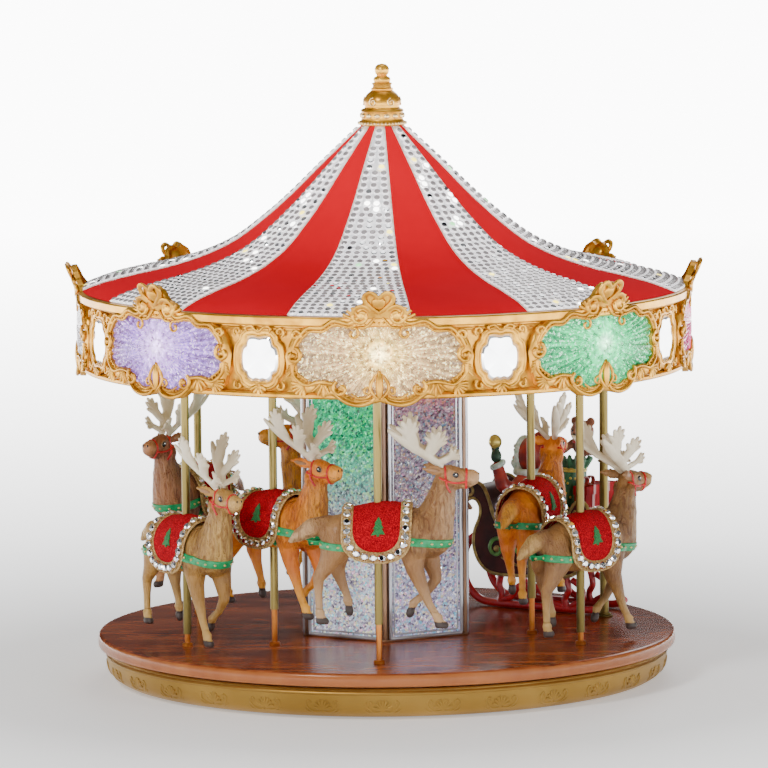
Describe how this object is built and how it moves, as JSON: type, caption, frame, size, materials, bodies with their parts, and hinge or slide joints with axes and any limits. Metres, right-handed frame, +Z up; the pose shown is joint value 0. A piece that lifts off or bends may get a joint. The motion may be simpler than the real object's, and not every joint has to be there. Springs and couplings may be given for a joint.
{
  "type": "carousel music box",
  "caption": "Round reindeer carousel music box: turning deck and jewelled tent canopy, riders rising on brass poles, and a sleigh.",
  "frame": {"origin": "on the spin axis at the underside of the rubber feet", "axes": "+Z up along the spin axis, -Y towards the front reindeer, +X the way the front reindeer faces"},
  "size_m": [0.371, 0.371, 0.3572],
  "materials": {
    "gold_plinth": "satin gold",
    "black_plastic": "moulded",
    "rubber": "matt",
    "steel": "bright",
    "white_plastic": "moulded",
    "speaker": "moulded",
    "board": "solder-resist green",
    "red_plastic": "gloss red",
    "mahogany": "lacquered, deep red-brown figure",
    "bronze": "satin bronze-brown",
    "crackle_glass": "clear, crackled, glittering",
    "copper": "copper plate",
    "maroon": "painted resin",
    "coat_red": "painted resin",
    "sack_green": "painted resin",
    "brass": "champagne brass",
    "ceiling": "satin",
    "gold": "bright gold",
    "lens": "clear moulded, lit",
    "mirror": "silvered",
    "tent_red": "bright red",
    "crystal": "silver with clear stones",
    "resin_tan": "painted resin",
    "velvet": "red velvet"
  },
  "bodies": {
    "base": {"base_shell": "gold_plinth", "bottom_cover": "black_plastic", "rubber_feet": "rubber", "cover_screws": "steel", "drive_motor": "steel", "centre_post": "steel", "wave_cam": "white_plastic", "speaker": "speaker", "control_board": "board", "power_inlet": "black_plastic"},
    "turntable": {"deck": "mahogany", "drive_gear": "white_plastic", "column_frame": "bronze", "column_panels": "crackle_glass", "lamp_board": "white_plastic", "guide_rods": "copper", "rod_collars": "copper", "sleigh_body": "maroon", "sleigh_runners": "red_plastic", "driver": "coat_red", "toy_sack": "sack_green", "gift_box": "coat_red", "sleigh_post": "brass", "canopy_ceiling": "ceiling", "fascia_ring": "gold", "cartouche_frames": "gold", "cartouche_lenses": "lens", "mirrors": "mirror", "roof_red": "tent_red", "roof_silver": "crystal", "finial": "gold"},
    "pinion": {"motor_pinion": "white_plastic"},
    "idler": {"idler_gear": "white_plastic"},
    "knob": {"volume_knob": "black_plastic"},
    "button": {"song_button": "red_plastic"},
    "rider_1": {"pole_1": "brass", "reindeer_1": "resin_tan", "saddle_1": "velvet"},
    "rider_2": {"pole_2": "brass", "reindeer_2": "resin_tan", "saddle_2": "velvet"},
    "rider_3": {"pole_3": "brass", "reindeer_3": "resin_tan", "saddle_3": "velvet"},
    "rider_4": {"pole_4": "brass", "reindeer_4": "resin_tan", "saddle_4": "velvet"},
    "rider_5": {"pole_5": "brass", "reindeer_5": "resin_tan", "saddle_5": "velvet"},
    "rider_6": {"pole_6": "brass", "reindeer_6": "resin_tan", "saddle_6": "velvet"},
    "rider_7": {"pole_7": "brass", "reindeer_7": "resin_tan", "saddle_7": "velvet"},
    "rider_8": {"pole_8": "brass", "reindeer_8": "resin_tan", "saddle_8": "velvet"}
  },
  "joints": [
    {"name": "turntable_spin", "type": "hinge", "parent": "base", "child": "turntable", "pos_m": [0, 0, 0.02], "axis": [0, 0, 1], "continuous": true},
    {"name": "idler_spin", "type": "hinge", "parent": "base", "child": "idler", "pos_m": [0, 0.06, 0.011], "axis": [0, 0, 1], "continuous": true},
    {"name": "pinion_spin", "type": "hinge", "parent": "base", "child": "pinion", "pos_m": [0.021, 0.06, 0.011], "axis": [0, 0, 1], "continuous": true},
    {"name": "volume_turn", "type": "hinge", "parent": "base", "child": "knob", "pos_m": [0.03, 0.163, 0.0118], "axis": [0, -1, 0], "range_deg": [-140, 140]},
    {"name": "song_press", "type": "slide", "parent": "base", "child": "button", "axis": [0, -1, 0], "range_m": [0, 0.0012], "stiffness_N_per_m": 250, "springref_m": -0.0006},
    {"name": "lift_1", "type": "slide", "parent": "turntable", "child": "rider_1", "axis": [0, 0, 1], "range_m": [-0.018, 0.0012]},
    {"name": "lift_2", "type": "slide", "parent": "turntable", "child": "rider_2", "axis": [0, 0, 1], "range_m": [-0.0012, 0.018]},
    {"name": "lift_3", "type": "slide", "parent": "turntable", "child": "rider_3", "axis": [0, 0, 1], "range_m": [-0.0012, 0.018]},
    {"name": "lift_4", "type": "slide", "parent": "turntable", "child": "rider_4", "axis": [0, 0, 1], "range_m": [-0.018, 0.0012]},
    {"name": "lift_5", "type": "slide", "parent": "turntable", "child": "rider_5", "axis": [0, 0, 1], "range_m": [-0.0012, 0.018]},
    {"name": "lift_6", "type": "slide", "parent": "turntable", "child": "rider_6", "axis": [0, 0, 1], "range_m": [-0.018, 0.0012]},
    {"name": "lift_7", "type": "slide", "parent": "turntable", "child": "rider_7", "axis": [0, 0, 1], "range_m": [-0.018, 0.0012]},
    {"name": "lift_8", "type": "slide", "parent": "turntable", "child": "rider_8", "axis": [0, 0, 1], "range_m": [-0.018, 0.0012]}
  ],
  "couplings": [
    {"joint": "idler_spin", "follows": "turntable_spin", "ratio": -3},
    {"joint": "pinion_spin", "follows": "turntable_spin", "ratio": 7.5},
    {"joint": "lift_2", "follows": "lift_1", "ratio": -1},
    {"joint": "lift_3", "follows": "lift_1", "ratio": -1},
    {"joint": "lift_4", "follows": "lift_1", "ratio": 1},
    {"joint": "lift_5", "follows": "lift_1", "ratio": -1},
    {"joint": "lift_6", "follows": "lift_1", "ratio": 1},
    {"joint": "lift_7", "follows": "lift_1", "ratio": 1},
    {"joint": "lift_8", "follows": "lift_1", "ratio": 1}
  ]
}
